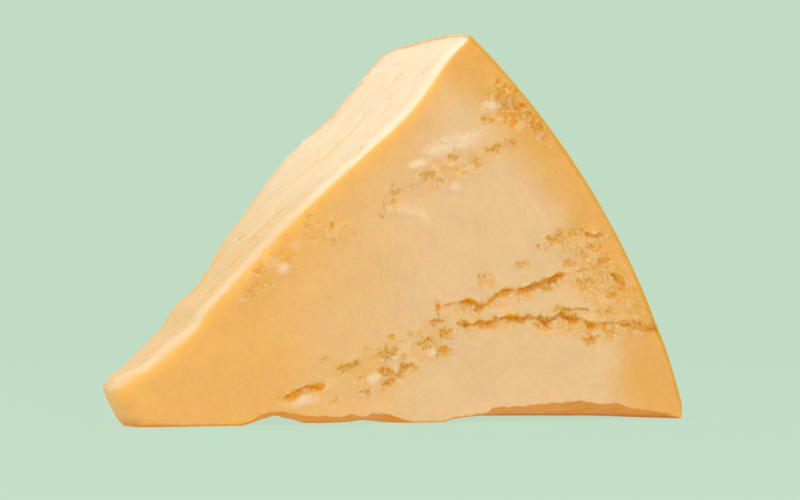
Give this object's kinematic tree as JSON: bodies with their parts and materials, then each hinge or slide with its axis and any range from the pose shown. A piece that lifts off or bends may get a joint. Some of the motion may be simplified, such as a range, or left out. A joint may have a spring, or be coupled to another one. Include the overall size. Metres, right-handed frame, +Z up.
{
  "type": "parmesan chunk",
  "caption": "Chunk of hard grating cheese split from a wheel, with a curved rind at one end, a blunt thin end, and broken faces with ragged cracks and crumbs.",
  "frame": {"origin": "middle of the bounding box's bottom, on the ground the chunk stands on", "axes": "+X from the thin end to the rind, +Y from the broad front face to the back face, +Z up"},
  "size_m": [0.1658, 0.0706, 0.1054],
  "materials": {
    "cheese": "slightly oily, waxy and granular, pale straw to golden, darker amber at the rind"
  },
  "bodies": {
    "root": {"parmesan_chunk": "cheese"}
  },
  "joints": []
}
